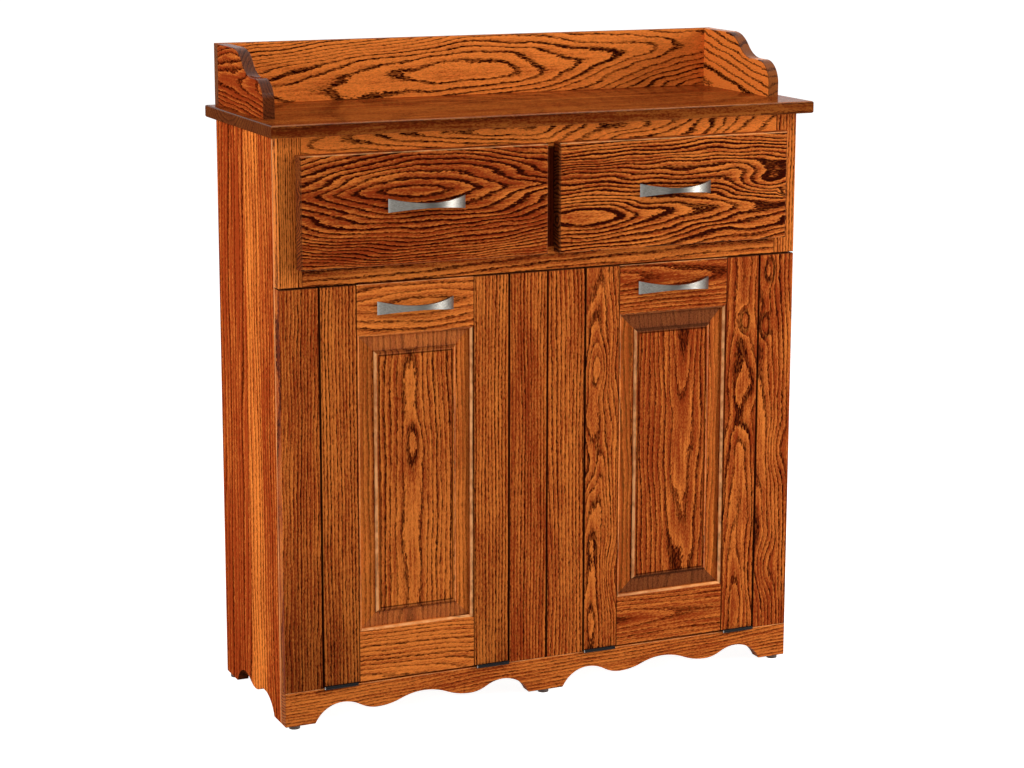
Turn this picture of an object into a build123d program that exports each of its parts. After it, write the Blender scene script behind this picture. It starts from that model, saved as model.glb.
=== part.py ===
"""Double tilt-out trash cabinet in stained oak: two drawers over two tilting frame-and-panel doors.

Millimetres, +Z up, front towards -Y. Everything is drawn with the face frame's front at y = 0 and
the undersides of the wooden feet at z = 0. save() then moves it, so that the origin lies on the
floor under the middle of the cabinet's outer box.
"""
from build123d import *
from math import cos, radians, sin
import os

os.makedirs("parts", exist_ok=True)

# Carcass
body_w = 914
body_d = 308
body_h = 948
side_t = 19
partition_t = 19
back_t = 6
floor_t = 16
floor_drop = 2.1
deck_t = 12
deck_lift = 2
dado_d = 6
partition_dado_d = 4
rabbet_w = 10
slip = 0.3

# Top board and gallery
top_t = 20
top_over_side = 17
top_over_front = 26
top_over_back = 4
top_round_r = 3
gallery_t = 19
gallery_h = 100
gallery_setback = 88
gallery_nose_h = 22
gallery_nose_r = 38
gallery_shelf = 20
gallery_sweep = 92

# Face frame round the drawers
frame_t = 22
drawer_band_h = 236
stile_w = 38
top_rail_h = 38
low_rail_h = 38
mullion_w = 38
arris = 0.8

# Fixed strips and scalloped base rail
frame_seam = 2.5
outer_strip_w = 64
inner_strip_w = 66.5
center_seam = 1.5
base_h = 56.5
foot_w = 50
center_foot_w = 62
crest_h = 30
foot_run = 47
dip_run = 60
dip_h = 13.5
side_front_foot = 58
side_back_foot = 56
side_dip_h = 17

# Glides under the feet
glide_h = 6
glide_r = 9
glide_inset = 18
nail_r = 1.5
nail_len = 12
nail_clear = 0.1

# Tilt doors
door_gap = 1.8
hinge_gap = 3
door_stile_w = 67
door_top_rail_h = 85
door_low_rail_h = 88
stick_w = 6
quirk_d = 0.8
groove_y = 8
groove_w = 6.3
groove_d = 9
tongue_t = 6
panel_play = 1
bevel_w = 24
bevel_rise = 2.6
shoulder_w = 6
shoulder_rise = 3.8

# Door hinges
knuckle_r = 3
knuckle_count = 3
knuckle_gap = 0.3
hinge_stand = 0.2
pin_r = 1.5
pin_clear = 0.05
pin_head_r = 2.4
pin_head_t = 1.2
leaf_t = 1.2
leaf_d = 20
hinge_len = 56
hinge_inset = 0.5
tilt_deg = 32

# Bin cradle behind each door
cradle_inset = 8
cradle_t = 12
cradle_back_gap = 17
cradle_lift = 5
cradle_front_h = 430
slat_h = 60
slat_reach = 7.5
stop_clear = 0.5
stop_t = 19
stop_drop = 24

# Waste bins
bin_clear = 3
bin_headroom = 98.6
bin_taper = 18
bin_wall = 2.5
bin_corner_r = 28
rim_w = 6
rim_h = 12

# Drawers
overlay = 9
drawer_front_t = 22
drawer_round_r = 2.5
closing_gap = 0.5
box_t = 12
box_lift = 15
box_headroom = 25
box_past_slide = 12
bottom_t = 6
bottom_lift = 10
bottom_fit = 0.15
slot_d = 6
slide_t = 12.7
tail_count = 3
tail_w = 24
tail_flare = 3

# Telescopic slides
slide_setback = 2
slide_back_gap = 50
rail_h = 42
rail_w = 10.5
rail_lip = 5
lip_clear = 1
runner_w = 8.7
sheet_t = 1.2
slide_fit = 0.3
block_h = 60

# Bow-tie pulls
pull_len = 130
pull_rise = 24
pull_end_h = 22
pull_mid_h = 8
pull_t = 4.5
pull_centers = 96
boss_r = 4.5
drawer_pull_up = 5
screw_r = 2
screw_clear = 0.25
screw_bite = 6
screw_head_r = 4.2
screw_head_h = 2.4

# Places that follow from the sizes
half_w = body_w / 2
side_x = half_w - side_t
part_x = partition_t / 2
back_y = body_d - back_t
frame_z = body_h - drawer_band_h
top_z = body_h + top_t
floor_z = base_h - floor_drop
deck_z = frame_z + deck_lift
stop_z = deck_z - stop_drop
strip_top = frame_z - frame_seam
bay_x0 = center_seam / 2 + inner_strip_w
bay_x1 = half_w - outer_strip_w
bay_x = (bay_x0 + bay_x1) / 2
open_x0 = mullion_w / 2
open_x1 = half_w - stile_w
open_x = (open_x0 + open_x1) / 2
open_z0 = frame_z + low_rail_h
open_z1 = body_h - top_rail_h
door_x0 = bay_x0 + door_gap
door_x1 = bay_x1 - door_gap
door_z0 = base_h + hinge_gap
hinge_y = -knuckle_r - hinge_stand
hinge_z = base_h + hinge_gap / 2
box_x0 = open_x0 + slide_t
box_x1 = open_x1 - slide_t
box_z0 = open_z0 + box_lift
box_h = open_z1 - box_headroom - box_z0
slide_z = box_z0 + box_h / 2
slide_len = back_y - slide_back_gap - slide_setback
box_d = slide_len + box_past_slide
drawer_y = -closing_gap
outer_front_y = drawer_y - drawer_front_t - pull_rise
outer_back_y = body_d + top_over_back
place = Pos(0, -(outer_front_y + outer_back_y) / 2, glide_h)


def save(name, *solids):
    """Write one piece, or a set of like pieces, in the part's own frame."""
    moved = [solid for piece in solids for solid in (place * piece).solids()]
    export_step(moved[0] if len(moved) == 1 else Compound(children=moved), f"parts/{name}.step")


def board(x0, x1, y0, y1, z0, z1):
    """Rectangular board between two opposite corners."""
    blank = Box(x1 - x0, y1 - y0, z1 - z0, align=(Align.MIN, Align.MIN, Align.MIN))
    return Pos(x0, y0, z0) * blank


def eased(piece):
    """Board with the arrises round its front face taken off."""
    return chamfer(piece.faces().sort_by(Axis.Y)[0].edges(), arris)


def other_hand(piece):
    """The same piece on the cabinet's other side."""
    return mirror(piece, about=Plane.YZ)


def rod(radius, x, y0, y1, z):
    """Round bar or drilled hole that runs front to back."""
    return Pos(x, y0, z) * extrude(Plane.XZ * Circle(radius), amount=y0 - y1)


def outline_face(*lines):
    """Face inside a closed run of lines and arcs."""
    return make_face(Curve() + list(lines))


def ogee(start, end):
    """Two equal arcs that leave start and reach end level."""
    middle = ((start[0] + end[0]) / 2, (start[1] + end[1]) / 2)
    first = TangentArc(start, middle, tangent=(end[0] - start[0], 0))
    return [first, TangentArc(middle, end, tangent=first % 1)]


def scallop(half_width, turns):
    """Outline to cut from a lower edge, with its level turns listed from the middle to the foot."""
    waves = []
    for start, end in zip(turns, turns[1:]):
        waves += ogee(start, end)
    waves.append(TangentArc(turns[-1], (half_width, 0), tangent=(1, 0)))
    below = -1
    sides = Polyline((half_width, 0), (half_width, below), (0, below), turns[0])
    half = outline_face(*waves, sides)
    return half + mirror(half, about=Plane.YZ)


# Gliders and the nail holes that they seat in
rail_mid_y = frame_t / 2
rear_glide_x = half_w - side_t / 2
glide_spots = [
    (glide_inset - half_w, rail_mid_y),
    (0, rail_mid_y),
    (half_w - glide_inset, rail_mid_y),
    (-rear_glide_x, body_d - glide_inset),
    (rear_glide_x, body_d - glide_inset),
]


def glide(x, y):
    """Nail-on glide: a round pad and the nail that holds it."""
    pad = Cylinder(glide_r, glide_h, align=(Align.CENTER, Align.CENTER, Align.MAX))
    nail = Cylinder(nail_r, nail_len, align=(Align.CENTER, Align.CENTER, Align.MIN))
    return Pos(x, y, 0) * (pad + nail)


def nail_hole(x, y):
    """Drilled hole for a glide's nail."""
    hole = Cylinder(nail_r + nail_clear, nail_len, align=(Align.CENTER, Align.CENTER, Align.MIN))
    return Pos(x, y, 0) * hole


save("glides", *[glide(x, y) for x, y in glide_spots])

# Side panels, with a dado for the floor and the deck, a rabbet for the back and a scalloped foot
side = board(side_x, half_w, frame_t, body_d, 0, body_h)
side -= board(side_x, side_x + dado_d, frame_t, body_d, floor_z - floor_t, floor_z)
side -= board(side_x, side_x + dado_d, frame_t, body_d, deck_z, deck_z + deck_t)
side -= board(side_x, side_x + rabbet_w, back_y, body_d, floor_z - floor_t, body_h)
scallop_y0 = side_front_foot
scallop_y1 = body_d - side_back_foot
side_half = (scallop_y1 - scallop_y0) / 2
side_scallop = scallop(side_half, [(0, side_dip_h), (side_half - foot_run, crest_h)])
cutter = extrude(Plane.YZ * side_scallop, amount=side_t)
side -= Pos(side_x, (scallop_y0 + scallop_y1) / 2, 0) * cutter
side -= nail_hole(*glide_spots[-1])
save("side_panel_right", side)
save("side_panel_left", other_hand(side))

# Floor, drawer deck, partition and back
save("floor_panel", board(-side_x - dado_d, side_x + dado_d, frame_t, back_y, floor_z - floor_t, floor_z))
deck = board(part_x - partition_dado_d, side_x + dado_d, frame_t, back_y, deck_z, deck_z + deck_t)
save("drawer_deck", deck, other_hand(deck))
partition = board(-part_x, part_x, frame_t, back_y, floor_z, body_h)
partition -= deck
partition -= other_hand(deck)
save("center_partition", partition)
back_x = side_x + rabbet_w - slip
save("back_panel", board(-back_x, back_x, back_y, body_d, floor_z - floor_t, body_h))

# Cleats inside: rear nailers under the top, door stops under the deck, blocks behind the slides
nailer = board(part_x, side_x, back_y - side_t, back_y, open_z1, body_h)
stop = board(part_x, side_x, frame_t + slip, frame_t + slip + stop_t, stop_z, deck_z)
block_z0 = slide_z - block_h / 2
block_z1 = slide_z + block_h / 2
outer_block = board(open_x1, side_x, frame_t, back_y, block_z0, block_z1)
inner_block = board(part_x, open_x0, frame_t, back_y, block_z0, block_z1)
cleats = [nailer, stop, outer_block, inner_block]
save("inner_cleats", *cleats, *[other_hand(cleat) for cleat in cleats])

# Top board with its rounded edge
top = board(-half_w - top_over_side, half_w + top_over_side, -top_over_front, outer_back_y, body_h, top_z)
top = fillet(top.edges().filter_by(Axis.X) + top.edges().filter_by(Axis.Y), top_round_r)
save("top_board", top)

# Gallery: a back rail and two ends with an ogee front
gallery_z = top_z + gallery_h
rail_y = outer_back_y - gallery_t
save("gallery_back", eased(board(-half_w, half_w, rail_y, outer_back_y, top_z, gallery_z)))
nose_y = gallery_setback - top_over_front
shelf_y = nose_y + gallery_nose_r
shelf_z = top_z + gallery_nose_h + gallery_nose_r
sweep_y = shelf_y + gallery_shelf
nose = TangentArc((nose_y, top_z + gallery_nose_h), (shelf_y, shelf_z), tangent=(0, 1))
crest = (sweep_y + gallery_sweep, gallery_z)
shelf = Line((shelf_y, shelf_z), (sweep_y, shelf_z))
square = Polyline(crest, (rail_y, gallery_z), (rail_y, top_z), (nose_y, top_z), nose @ 0)
profile = outline_face(nose, shelf, *ogee((sweep_y, shelf_z), crest), square)
gallery_end = extrude(Plane.YZ * profile, amount=gallery_t)
routed = gallery_end.edges().filter_by(lambda e: e.bounding_box().min.Z > top_z + arris)
routed = routed.filter_by(lambda e: e.bounding_box().size.X < arris)
routed = routed.filter_by(lambda e: e.bounding_box().min.Y < rail_y - arris)
gallery_end = Pos(half_w - gallery_t, 0, 0) * chamfer(routed, arris)
save("gallery_end_right", gallery_end)
save("gallery_end_left", other_hand(gallery_end))

# Face frame
stile = eased(board(open_x1, half_w, 0, frame_t, frame_z, body_h))
save("frame_stile_right", stile)
save("frame_stile_left", other_hand(stile))
save("frame_top_rail", eased(board(-open_x1, open_x1, 0, frame_t, open_z1, body_h)))
save("frame_bottom_rail", eased(board(-open_x1, open_x1, 0, frame_t, frame_z, open_z0)))
save("frame_mullion", eased(board(-open_x0, open_x0, 0, frame_t, open_z0, open_z1)))

# Fixed strips beside the doors
outer_strip = eased(board(bay_x1, half_w, 0, frame_t, base_h, strip_top))
inner_strip = eased(board(center_seam / 2, bay_x0, 0, frame_t, base_h, strip_top))
save("fixed_strip_outer_right", outer_strip)
save("fixed_strip_outer_left", other_hand(outer_strip))
save("fixed_strip_inner_right", inner_strip)
save("fixed_strip_inner_left", other_hand(inner_strip))

# Scalloped base rail
span_x0 = center_foot_w / 2
span_x1 = half_w - foot_w
span_half = (span_x1 - span_x0) / 2
crest_x = span_half - foot_run
dip_x = crest_x - dip_run
base_scallop = scallop(span_half, [(0, crest_h), (dip_x, dip_h), (crest_x, crest_h)])
cutter = Pos((span_x0 + span_x1) / 2, 0, 0) * extrude(Plane.XZ * base_scallop, amount=-frame_t)
base_rail = eased(board(-half_w, half_w, 0, frame_t, 0, base_h))
base_rail -= cutter
base_rail -= other_hand(cutter)
for spot in glide_spots[:3]:
    base_rail -= nail_hole(*spot)
save("base_rail", base_rail)


def hinge(x0):
    """Butt hinge with its leaves lying flat in the gap under the door: base leaf, door leaf, pin."""
    x1 = x0 + hinge_len
    step = hinge_len / knuckle_count
    notch_y = hinge_y + knuckle_r + knuckle_gap
    plates = [(base_h, base_h + leaf_t), (door_z0 - leaf_t, door_z0)]
    leaves = [board(x0, x1, notch_y, leaf_d, low, high) for low, high in plates]
    for index in range(knuckle_count):
        low, high = plates[index % 2]
        start = x0 + index * step + (knuckle_gap / 2 if index else 0)
        end = x0 + (index + 1) * step - (knuckle_gap / 2 if index < knuckle_count - 1 else 0)
        barrel = Pos(start, hinge_y, hinge_z) * extrude(Plane.YZ * Circle(knuckle_r), amount=end - start)
        leaves[index % 2] += barrel + board(start, end, hinge_y, notch_y, low, high)
    bore = extrude(Plane.YZ * Circle(pin_r + pin_clear), amount=hinge_len)
    leaves = [leaf - Pos(x0, hinge_y, hinge_z) * bore for leaf in leaves]
    pin = extrude(Plane.YZ * Circle(pin_r), amount=hinge_len)
    pin += extrude(Plane.YZ * Circle(pin_head_r), amount=-pin_head_t)
    return leaves[0], leaves[1], Pos(x0, hinge_y, hinge_z) * pin


def pull(x, y, z, wood):
    """Bow-tie pull that arches forward from y, with its screws through wood of that thickness."""
    half = pull_len / 2
    radius = (half ** 2 + pull_rise ** 2) / (2 * pull_rise)
    center = radius - pull_rise
    arch = Pos(0, center) * (Circle(radius) - Circle(radius - pull_t))
    arch &= Rectangle(pull_len, radius, align=(Align.CENTER, Align.MAX))
    waist = pull_mid_h / 2
    tip = pull_end_h / 2
    bow = outline_face(
        ThreePointArc((-half, tip), (0, waist), (half, tip)),
        Line((half, tip), (half, -tip)),
        ThreePointArc((half, -tip), (0, -waist), (-half, -tip)),
        Line((-half, -tip), (-half, tip)),
    )
    bar = extrude(arch, amount=pull_end_h, both=True) & extrude(Plane.XZ * bow, amount=radius)
    solids = []
    for hand in (-1, 1):
        post_x = hand * pull_centers / 2
        post_rise = (radius ** 2 - post_x ** 2) ** 0.5 - center - pull_t / 2
        bar += rod(boss_r, post_x, -post_rise, 0, 0)
        bar -= rod(screw_r, post_x, -screw_bite, 0, 0)
        shank = rod(screw_r, post_x, -screw_bite, wood, 0)
        solids.append(shank + rod(screw_head_r, post_x, wood, wood + screw_head_h, 0))
    return [Pos(x, y, z) * solid for solid in [bar, *solids]]


def screw_holes(x, y0, y1, z):
    """Clearance holes for a pull's two screws."""
    radius = screw_r + screw_clear
    half = pull_centers / 2
    return rod(radius, x - half, y0, y1, z) + rod(radius, x + half, y0, y1, z)


# Frame-and-panel door: grooved and moulded stiles, coped rails and a raised panel that floats
opening_x0 = door_x0 + door_stile_w
opening_x1 = door_x1 - door_stile_w
opening_z0 = door_z0 + door_low_rail_h
opening_z1 = strip_top - door_top_rail_h
groove_y1 = groove_y + groove_w
pull_z = strip_top - (door_top_rail_h - stick_w) / 2


def across_door(piece):
    """The same piece on the right door's other side."""
    return Pos(2 * bay_x, 0, 0) * other_hand(piece)


def across_panel(x, z, toward):
    """Drawing plane that looks along a door's width, with its first axis up or down."""
    return Plane(origin=(x, 0, z), x_dir=(0, 0, toward), z_dir=(-toward, 0, 0))


# Rounded sticking with a quirk, cut from the front arrises that look at the panel
round_start = (-stick_w, quirk_d)
round_end = (0, quirk_d + stick_w)
sticking = outline_face(
    Polyline(round_end, (0, 0), (-stick_w, 0), round_start),
    TangentArc(round_start, round_end, tangent=(1, 0)))
door_run = strip_top - door_z0
inner_stile = eased(board(door_x0, opening_x0, 0, frame_t, door_z0, strip_top))
inner_stile -= Pos(opening_x0, 0, door_z0) * extrude(sticking, amount=door_run)
inner_stile -= board(opening_x0 - groove_d, opening_x0, groove_y, groove_y1, door_z0, strip_top)
outer_stile = across_door(inner_stile)
panel_w = opening_x1 - opening_x0
panel_h = opening_z1 - opening_z0


def door_rail(z0, z1, edge_z, toward):
    """Rail with its moulded and grooved edge at edge_z, tenoned and coped to the stiles."""
    rail = eased(board(opening_x0 - stick_w, opening_x1 + stick_w, 0, frame_t, z0, z1))
    rail += board(opening_x0 - groove_d, opening_x1 + groove_d, groove_y, groove_y1, z0, z1)
    rail -= extrude(across_panel(bay_x, edge_z, toward) * sticking, amount=panel_w / 2 + stick_w, both=True)
    deep = edge_z - toward * groove_d
    low, high = sorted((deep, edge_z))
    rail -= board(opening_x0 - groove_d, opening_x1 + groove_d, groove_y, groove_y1, low, high)
    return rail - inner_stile - outer_stile


door_low_rail = door_rail(door_z0, opening_z0, opening_z0, 1)
door_top_rail = door_rail(opening_z1, strip_top, opening_z1, -1)
door_top_rail -= screw_holes(bay_x, 0, frame_t, pull_z)

# Raised panel, where the moulding pass down its length crosses the one along its width
tongue_y = groove_y + (groove_w - tongue_t) / 2
tongue_y1 = tongue_y + tongue_t
tongue_out = groove_d - panel_play
bevel_y = tongue_y - bevel_rise
field_y = bevel_y - shoulder_rise


def panel_section(opening):
    """Section across a panel: a tongue, a flat bevel and a rounded shoulder up to the field."""
    edge = opening / 2
    foot = edge - bevel_w
    shoulder_top = (foot - shoulder_w, field_y)
    shoulder_foot = (foot, bevel_y)
    shoulder = TangentArc(shoulder_top, shoulder_foot, tangent=(1, 0))
    out = edge + tongue_out
    rest = Polyline(
        shoulder_foot, (edge, tongue_y), (out, tongue_y), (out, tongue_y1), (0, tongue_y1), (0, field_y),
        shoulder_top)
    half = outline_face(shoulder, rest)
    return half + mirror(half, about=Plane.YZ)


panel_mid_z = (opening_z0 + opening_z1) / 2
down_pass = Pos(bay_x, 0, panel_mid_z) * panel_section(panel_w)
across_pass = across_panel(bay_x, panel_mid_z, 1) * panel_section(panel_h)
panel = extrude(down_pass, amount=panel_h / 2 + tongue_out, both=True)
panel &= extrude(across_pass, amount=panel_w / 2 + tongue_out, both=True)

# Cradle behind the door: its upper slat lands on the backs of the fixed strips at full tilt
cradle_x0 = door_x0 + cradle_inset
cradle_z0 = floor_z + cradle_lift
slat_back = back_y - cradle_back_gap
slat_y = slat_back - cradle_t
tilt = radians(tilt_deg)
slat_reach_y = (slat_y - hinge_y) * cos(tilt) - (frame_t + stop_clear - hinge_y)
slat_z1 = hinge_z + slat_reach_y / sin(tilt)
cheek = outline_face(Polyline(
    (frame_t, cradle_z0), (slat_y, cradle_z0), (slat_y, slat_z1), (frame_t, cradle_z0 + cradle_front_h),
    (frame_t, cradle_z0)))
cradle_side = Pos(cradle_x0, 0, 0) * extrude(Plane.YZ * cheek, amount=cradle_t)
cradle_x1 = 2 * bay_x - cradle_x0
shelf_z1 = cradle_z0 + cradle_t
cradle_bottom = board(cradle_x0 + cradle_t, cradle_x1 - cradle_t, frame_t, slat_y, cradle_z0, shelf_z1)
high_slat = board(bay_x0 - slat_reach, bay_x1 + slat_reach, slat_y, slat_back, slat_z1 - slat_h, slat_z1)
low_slat = board(cradle_x0, cradle_x1, slat_y, slat_back, cradle_z0, cradle_z0 + slat_h)


def tub(width, depth, corner_r, z0, z1):
    """Solid with rounded corners whose foot is smaller than its mouth by the bin's taper."""
    foot = RectangleRounded(width - 2 * bin_taper, depth - 2 * bin_taper, corner_r)
    mouth = RectangleRounded(width, depth, corner_r)
    return loft([Pos(0, 0, z0) * foot, Pos(0, 0, z1) * mouth], ruled=True)


# Waste bin: a tapered plastic tub with a rolled rim
bin_w = cradle_x1 - cradle_x0 - 2 * (cradle_t + bin_clear)
bin_d = slat_y - frame_t - 2 * bin_clear
bin_h = stop_z - bin_headroom - shelf_z1
mouth_w = bin_w - 2 * rim_w
mouth_d = bin_d - 2 * rim_w
inner_w = mouth_w - 2 * bin_wall
inner_d = mouth_d - 2 * bin_wall
rim = RectangleRounded(bin_w, bin_d, bin_corner_r + rim_w)
waste_bin = tub(mouth_w, mouth_d, bin_corner_r, 0, bin_h)
waste_bin += Pos(0, 0, bin_h - rim_h) * extrude(rim, amount=rim_h)
waste_bin -= tub(inner_w, inner_d, bin_corner_r - bin_wall, bin_wall, bin_h)
waste_bin = Pos(bay_x, (frame_t + slat_y) / 2, shelf_z1) * waste_bin

base_leaves = []
pins = []
for label, hand in (("left", -1), ("right", 1)):
    door_leaves = []
    near = hand * (door_x0 + hinge_inset)
    far = hand * (door_x1 - hinge_inset)
    for start in (min(near, near + hand * hinge_len), min(far, far - hand * hinge_len)):
        base_leaf, door_leaf, pin = hinge(start)
        base_leaves.append(base_leaf)
        door_leaves.append(door_leaf)
        pins.append(pin)
    save(f"door_{label}_hinge_leaves", *door_leaves)
    pieces = {
        f"door_{label}_inner_stile": [inner_stile],
        f"door_{label}_outer_stile": [outer_stile],
        f"door_{label}_top_rail": [door_top_rail],
        f"door_{label}_bottom_rail": [door_low_rail],
        f"door_{label}_panel": [panel],
        f"door_{label}_pull": pull(bay_x, 0, pull_z, frame_t),
        f"cradle_{label}_sides": [cradle_side, across_door(cradle_side)],
        f"cradle_{label}_bottom": [cradle_bottom],
        f"cradle_{label}_back_slats": [high_slat, low_slat],
        f"waste_bin_{label}": [waste_bin],
    }
    for name, solids in pieces.items():
        save(name, *(solids if hand > 0 else [other_hand(solid) for solid in solids]))
save("hinge_base_leaves", *base_leaves)
save("hinge_pins", *pins)


def across_drawer(piece):
    """The same piece on the right drawer's other side."""
    return Pos(2 * open_x, 0, 0) * other_hand(piece)


# Dovetailed drawer box: tails on the sides, pins on the ends, and a bottom held in a slot all round
box_y1 = drawer_y + box_d
box_z1 = box_z0 + box_h
tail_pitch = box_h / tail_count
box_side = board(box_x0, box_x0 + box_t, drawer_y + box_t, box_y1 - box_t, box_z0, box_z1)
for index in range(tail_count):
    tail_z = box_z0 + (index + 0.5) * tail_pitch
    for root_y, tip_y in ((drawer_y + box_t, drawer_y), (box_y1 - box_t, box_y1)):
        root = tail_w / 2 - tail_flare
        tip = tail_w / 2
        tail = outline_face(Polyline(
            (root_y, tail_z - root), (tip_y, tail_z - tip), (tip_y, tail_z + tip), (root_y, tail_z + root),
            (root_y, tail_z - root)))
        box_side += Pos(box_x0, 0, 0) * extrude(Plane.YZ * tail, amount=box_t)
far_side = across_drawer(box_side)
slot_x0 = box_x0 + box_t - slot_d
slot_x1 = box_x1 - box_t + slot_d
slot_y0 = drawer_y + box_t - slot_d
slot_y1 = box_y1 - box_t + slot_d
slot_z0 = box_z0 + bottom_lift
slot = board(slot_x0, slot_x1, slot_y0, slot_y1, slot_z0, slot_z0 + bottom_t + 2 * bottom_fit)
box_bottom = board(slot_x0 + slip, slot_x1 - slip, slot_y0 + slip, slot_y1 - slip,
                   slot_z0 + bottom_fit, slot_z0 + bottom_fit + bottom_t)
front_y = drawer_y - drawer_front_t
front_z0 = open_z0 - overlay
front_z1 = open_z1 + overlay
drawer_pull_z = (front_z0 + front_z1) / 2 + drawer_pull_up
drawer_holes = screw_holes(open_x, front_y, drawer_y + box_t, drawer_pull_z)
box_front = board(box_x0, box_x1, drawer_y, drawer_y + box_t, box_z0, box_z1) - box_side - far_side
box_front = box_front - slot - drawer_holes
box_back = board(box_x0, box_x1, box_y1 - box_t, box_y1, box_z0, box_z1) - box_side - far_side - slot
drawer_front = board(open_x0 - overlay, open_x1 + overlay, front_y, drawer_y, front_z0, front_z1)
drawer_front = fillet(drawer_front.faces().sort_by(Axis.Y)[0].edges(), drawer_round_r) - drawer_holes


def bar(x0, x1, z0, z1):
    """Flat of a rolled section, from its corners."""
    return Pos((x0 + x1) / 2, (z0 + z1) / 2) * Rectangle(x1 - x0, z1 - z0)


def slide_part(section):
    """Both halves of a rolled section, run along the drawer at the inner side's height."""
    whole = section + mirror(section, about=Plane.XZ)
    long = extrude(Plane.XZ * whole, amount=-slide_len)
    return Pos(open_x0, slide_setback, slide_z) * long


rail_z = rail_h / 2
rail_section = bar(0, sheet_t, 0, rail_z) + bar(0, rail_w, rail_z - sheet_t, rail_z)
rail_section += bar(rail_w - sheet_t, rail_w, rail_z - rail_lip, rail_z)
runner_z = rail_z - rail_lip - lip_clear
runner_x = slide_t - runner_w
track_z = rail_z - sheet_t - slide_fit
runner_section = bar(slide_t - sheet_t, slide_t, 0, runner_z)
runner_section += bar(runner_x, slide_t, runner_z - sheet_t, runner_z)
runner_section += bar(runner_x, runner_x + sheet_t, runner_z - sheet_t, track_z)
rail = slide_part(rail_section)
runner = slide_part(runner_section)
rails = [rail, across_drawer(rail)]
save("slide_rails", *rails, *[other_hand(piece) for piece in rails])

for label, hand in (("left", -1), ("right", 1)):
    pieces = {
        f"drawer_{label}_front": [drawer_front],
        f"drawer_{label}_sides": [box_side - slot, far_side - slot],
        f"drawer_{label}_ends": [box_front, box_back],
        f"drawer_{label}_bottom": [box_bottom],
        f"drawer_{label}_runners": [runner, across_drawer(runner)],
        f"drawer_{label}_pull": pull(open_x, front_y, drawer_pull_z, drawer_front_t + box_t),
    }
    for name, solids in pieces.items():
        save(name, *(solids if hand > 0 else [other_hand(solid) for solid in solids]))
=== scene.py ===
"""Looks of a double tilt-out trash cabinet in stained oak, built round its fixed frame.

Each board gets its own cut of one solid oak: growth rings round a heart line, dark open pores where a
ring starts, and end grain where a face cuts across. Metres, in the frame's own axes.
"""
import bpy
import math
from collections import namedtuple
from dataclasses import dataclass
from mathutils import Matrix, Vector


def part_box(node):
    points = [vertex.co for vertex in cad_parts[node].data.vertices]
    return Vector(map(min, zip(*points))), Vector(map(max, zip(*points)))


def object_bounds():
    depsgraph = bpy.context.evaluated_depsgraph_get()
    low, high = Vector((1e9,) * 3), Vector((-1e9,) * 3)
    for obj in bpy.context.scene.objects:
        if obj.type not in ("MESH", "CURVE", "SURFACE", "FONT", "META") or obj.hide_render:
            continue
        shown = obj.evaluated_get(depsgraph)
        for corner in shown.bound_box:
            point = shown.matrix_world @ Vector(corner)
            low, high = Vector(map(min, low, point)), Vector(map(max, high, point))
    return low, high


bl_info = {
    "name": "Tilt-out trash cabinet looks",
    "version": (1, 0, 0),
    "blender": (4, 5, 0),
    "location": "3D View > Sidebar > Cabinet",
    "description": "Dresses the cabinet's frame in stained oak, satin nickel, plated steel and plastic",
    "category": "Object",
}

IMAGE_WIDTH = 1024
SENSOR_WIDTH = 36
FLOOR_REACH = 40
CARD_GREY = 0.07

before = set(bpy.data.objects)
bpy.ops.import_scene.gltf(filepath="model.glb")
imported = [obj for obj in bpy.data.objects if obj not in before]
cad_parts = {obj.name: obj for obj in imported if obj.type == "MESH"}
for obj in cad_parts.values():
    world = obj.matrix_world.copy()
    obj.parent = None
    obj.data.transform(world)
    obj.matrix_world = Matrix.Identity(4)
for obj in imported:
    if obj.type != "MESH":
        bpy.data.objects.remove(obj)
cad_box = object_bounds()

AXIS_NUMBER = {"X": 0, "Y": 1, "Z": 2}
SIDES = ("left", "right")

# Numbers of the node sockets that are not called by name
COORDINATE_NORMAL, COORDINATE_OBJECT = 1, 3
CAMERA_RAY, GLOSSY_RAY, TRANSMISSION_RAY = 0, 3, 6
MIX_SHARE, MIX_FIRST, MIX_SECOND, MIX_RESULT = 0, 6, 7, 2

# How far each seed carries a noise away along the three axes
SEED_STEPS = (17.3, 5.1, 9.7)

# Noise in wood: blotches to the metre along and across the grain, detail, and a number of its own.
# Sway and wild figure bend the rings, waver and ragged edges unsettle their lines, and patches pale them
Blotches = namedtuple("Blotches", "along across detail number")
SWAY = Blotches(3.5, 17.0, 1.0, 0)
WAVER = Blotches(16.0, 75.0, 2.0, 1)
RAGGED = Blotches(130.0, 520.0, 1.0, 2)
PATCHES = Blotches(7.0, 40.0, 1.0, 3)
PORES = Blotches(120.0, 480.0, 1.0, 4)
STREAKS = Blotches(12.0, 260.0, 3.0, 5)
CLOUDS = Blotches(4.0, 26.0, 2.0, 6)
SPECKLES = Blotches(400.0, 600.0, 1.0, 7)
FLECKS = Blotches(230.0, 600.0, 1.0, 8)
WILD = Blotches(8.0, 26.0, 1.0, 9)
BREAKS = Blotches(60.0, 90.0, 2.0, 10)

# Noise levels between which each look comes in
PATCH_LEVELS = (0.25, 0.5)
PORE_LEVELS = (0.44, 0.57)
WARM_LEVELS = (0.2, 0.8)
FLECK_LEVELS = (0.52, 0.72)
SPECKLE_LEVELS = (0.35, 0.65)
BREAK_LEVELS = (0.35, 0.65)

# Shares of a ring or of its band: where the band of pores opens and closes, and late wood begins
BAND_OPENS = (0.0, 0.05)
BAND_CLOSES = (0.55, 1.15)
BAND_SPREAD = 0.2
FAINTEST_BAND = 0.6
LATE_WOOD = (0.55, 0.95)
RAGGED_RINGS = 0.5

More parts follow.
